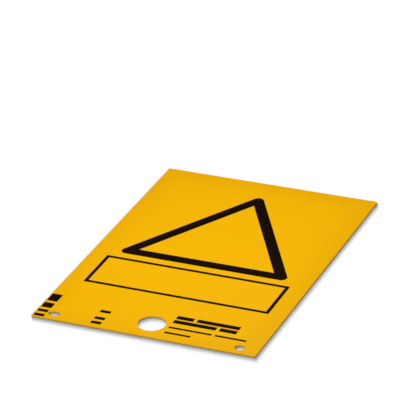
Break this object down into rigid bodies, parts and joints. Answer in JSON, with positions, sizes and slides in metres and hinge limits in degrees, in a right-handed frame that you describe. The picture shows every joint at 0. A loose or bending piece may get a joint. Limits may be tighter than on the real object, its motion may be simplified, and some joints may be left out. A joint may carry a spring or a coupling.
{
  "type": "warning sign card",
  "caption": "Flat yellow plastic sign card with a black empty warning triangle, an empty text frame and punched holes along its lower edge.",
  "frame": {"origin": "middle of the sheet's back face, which is the middle of the base of the part's box", "axes": "+Z out of the printed side, +Y along the height towards the top of the sign, +X to the right as the sign is read"},
  "size_m": [0.105, 0.15, 0.0005],
  "materials": {
    "yellow_plastic": "satin",
    "black_ink": "satin"
  },
  "bodies": {
    "root": {"sheet": "yellow_plastic", "triangle_print": "black_ink", "text_field_print": "black_ink", "edge_bars_print": "black_ink", "dashes_print": "black_ink", "caption_lines_print": "black_ink"}
  },
  "joints": []
}
